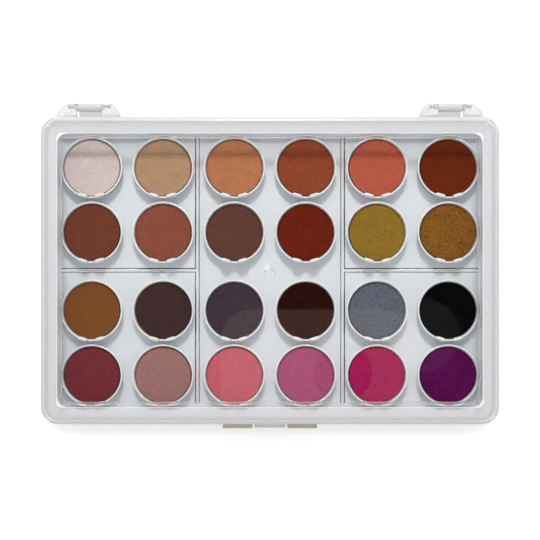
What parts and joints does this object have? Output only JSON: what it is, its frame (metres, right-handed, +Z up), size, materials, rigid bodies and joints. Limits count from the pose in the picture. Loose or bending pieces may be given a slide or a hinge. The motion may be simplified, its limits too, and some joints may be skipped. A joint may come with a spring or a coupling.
{
  "type": "gouache paint set box",
  "caption": "Flat clear hinged case that holds a white tray of round gouache paint pans, with mixing wells in its lid and a snap latch at the front.",
  "frame": {"origin": "centre of the case's flat underside", "axes": "+X to the right along the rows of pans, +Y from the latch to the hinges, +Z up out of the lid"},
  "size_m": [0.2284, 0.1637, 0.019],
  "materials": {
    "clear_polystyrene": "clear, glossy moulded plastic",
    "white_polystyrene": "white moulded plastic, satin gloss",
    "gouache_rose_white": "dry chalky gouache paint, matt",
    "gouache_sand": "dry chalky gouache paint, matt",
    "gouache_apricot_ochre": "dry chalky gouache paint, matt",
    "gouache_terracotta": "dry chalky gouache paint, matt",
    "gouache_brick_pink": "dry chalky gouache paint, matt",
    "gouache_burnt_sienna": "dry chalky gouache paint, matt",
    "gouache_light_umber": "dry chalky gouache paint, matt",
    "gouache_rosewood": "dry chalky gouache paint, matt",
    "gouache_cocoa": "dry chalky gouache paint, matt",
    "gouache_english_red": "dry chalky gouache paint, matt",
    "gouache_olive_ochre": "dry chalky gouache paint, matt",
    "gouache_raw_sienna": "dry chalky gouache paint, matt",
    "gouache_golden_umber": "dry chalky gouache paint, matt",
    "gouache_dark_umber": "dry chalky gouache paint, matt",
    "gouache_aubergine_grey": "dry chalky gouache paint, matt",
    "gouache_bitter_chocolate": "dry chalky gouache paint, matt",
    "gouache_slate_grey": "dry chalky gouache paint, matt",
    "gouache_black": "dry chalky gouache paint, matt",
    "gouache_wine_red": "dry chalky gouache paint, matt",
    "gouache_dusty_pink": "dry chalky gouache paint, matt",
    "gouache_coral_pink": "dry chalky gouache paint, matt",
    "gouache_heather_pink": "dry chalky gouache paint, matt",
    "gouache_magenta": "dry chalky gouache paint, matt",
    "gouache_violet": "dry chalky gouache paint, matt"
  },
  "bodies": {
    "case": {"base_case": "clear_polystyrene", "tray_insert": "white_polystyrene", "pan_a1": "white_polystyrene", "pan_a2": "white_polystyrene", "pan_a3": "white_polystyrene", "pan_a4": "white_polystyrene", "pan_a5": "white_polystyrene", "pan_a6": "white_polystyrene", "pan_b1": "white_polystyrene", "pan_b2": "white_polystyrene", "pan_b3": "white_polystyrene", "pan_b4": "white_polystyrene", "pan_b5": "white_polystyrene", "pan_b6": "white_polystyrene", "pan_c1": "white_polystyrene", "pan_c2": "white_polystyrene", "pan_c3": "white_polystyrene", "pan_c4": "white_polystyrene", "pan_c5": "white_polystyrene", "pan_c6": "white_polystyrene", "pan_d1": "white_polystyrene", "pan_d2": "white_polystyrene", "pan_d3": "white_polystyrene", "pan_d4": "white_polystyrene", "pan_d5": "white_polystyrene", "pan_d6": "white_polystyrene", "paint_a1": "gouache_rose_white", "paint_a2": "gouache_sand", "paint_a3": "gouache_apricot_ochre", "paint_a4": "gouache_terracotta", "paint_a5": "gouache_brick_pink", "paint_a6": "gouache_burnt_sienna", "paint_b1": "gouache_light_umber", "paint_b2": "gouache_rosewood", "paint_b3": "gouache_cocoa", "paint_b4": "gouache_english_red", "paint_b5": "gouache_olive_ochre", "paint_b6": "gouache_raw_sienna", "paint_c1": "gouache_golden_umber", "paint_c2": "gouache_dark_umber", "paint_c3": "gouache_aubergine_grey", "paint_c4": "gouache_bitter_chocolate", "paint_c5": "gouache_slate_grey", "paint_c6": "gouache_black", "paint_d1": "gouache_wine_red", "paint_d2": "gouache_dusty_pink", "paint_d3": "gouache_coral_pink", "paint_d4": "gouache_heather_pink", "paint_d5": "gouache_magenta", "paint_d6": "gouache_violet"},
    "lid": {"lid": "clear_polystyrene"}
  },
  "joints": [
    {"name": "lid_hinge", "type": "hinge", "parent": "case", "child": "lid", "pos_m": [0, 0.08235, 0.01115], "axis": [-1, 0, 0], "range_deg": [0, 180]}
  ]
}
